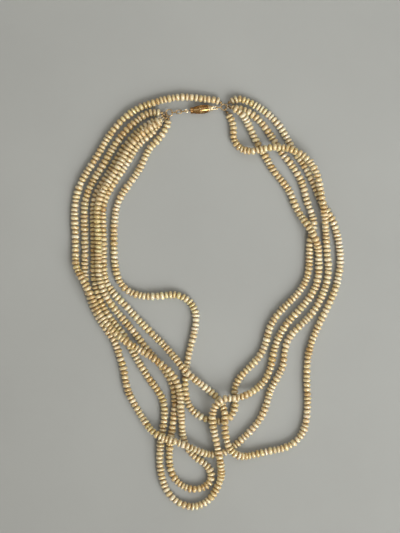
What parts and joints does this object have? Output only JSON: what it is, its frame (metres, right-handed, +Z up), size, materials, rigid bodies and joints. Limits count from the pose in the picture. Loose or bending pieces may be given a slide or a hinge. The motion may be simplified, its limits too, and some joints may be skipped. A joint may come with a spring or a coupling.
{
  "type": "pearl necklace",
  "caption": "Five-strand freshwater pearl necklace laid out flat: five silk threads of small ivory pearls between two rings, with a pierced gold barrel clasp, a spring tongue and a short chain.",
  "frame": {"origin": "On the surface the necklace lies on, under the middle of its laid outline.", "axes": "+Z up from the surface, +Y along the laid length towards the clasp, +X to the right as seen from above."},
  "size_m": [0.1148, 0.175, 0.0076],
  "materials": {
    "pearl": "satin",
    "gold": "polished",
    "silk": "matte"
  },
  "bodies": {
    "root": {"outer_pearls_right": "pearl", "big_loop_pearls_right": "pearl", "far_right_pearls_right": "pearl", "inner_pearls_right": "pearl", "folded_pearls_right": "pearl", "outer_thread_right": "silk", "big_loop_thread_right": "silk", "far_right_thread_right": "silk", "inner_thread_right": "silk", "folded_thread_right": "silk", "right_bead_tips": "gold", "right_end_knots": "silk", "right_ring": "gold", "clasp_end_link": "gold"},
    "left_arm": {"outer_pearls_left": "pearl", "big_loop_pearls_left": "pearl", "far_right_pearls_left": "pearl", "inner_pearls_left": "pearl", "folded_pearls_left": "pearl", "outer_thread_left": "silk", "big_loop_thread_left": "silk", "far_right_thread_left": "silk", "inner_thread_left": "silk", "folded_thread_left": "silk", "left_bead_tips": "gold", "left_end_knots": "silk", "left_ring": "gold", "chain_link_left": "gold", "chain_link_right": "gold"},
    "chain_middle": {"chain_link_middle": "gold"},
    "clasp_barrel": {"clasp_upper_shell": "gold", "clasp_lower_shell": "gold", "clasp_mouth_band": "gold", "clasp_end_band": "gold", "clasp_crossbar": "gold", "clasp_end_loop": "gold"},
    "clasp_tongue": {"tongue_hook": "gold", "tongue_eye": "gold"},
    "tongue_spring": {"tongue_spring_leaf": "gold"}
  },
  "joints": [
    {"name": "left_arm_swing", "type": "hinge", "parent": "root", "child": "left_arm", "pos_m": [0.0032, -0.0746, 0], "axis": [0, 0, 1], "range_deg": [0, 2.96]},
    {"name": "clasp_roll", "type": "hinge", "parent": "root", "child": "clasp_barrel", "pos_m": [-0.00163, 0.08075, 0.00185], "axis": [0.9945, 0.1045, 0], "range_deg": [-10, 10]},
    {"name": "clasp_tongue_slide", "type": "slide", "parent": "clasp_barrel", "child": "clasp_tongue", "axis": [-0.9945, -0.1045, 0], "range_m": [0, 0.008]},
    {"name": "leaf_press", "type": "hinge", "parent": "clasp_tongue", "child": "tongue_spring", "pos_m": [-0.00183, 0.08073, 0.0023], "axis": [0.1045, -0.9945, 0], "range_deg": [0, 4.5], "stiffness_Nm_per_rad": 0.02},
    {"name": "chain_twist", "type": "hinge", "parent": "left_arm", "child": "chain_middle", "pos_m": [-0.01177, 0.07968, 0.00185], "axis": [0.9945, 0.1045, 0], "range_deg": [-15, 15]}
  ],
  "couplings": [
    {"joint": "clasp_tongue_slide", "follows": "left_arm_swing", "m_per_rad": 0.155}
  ]
}
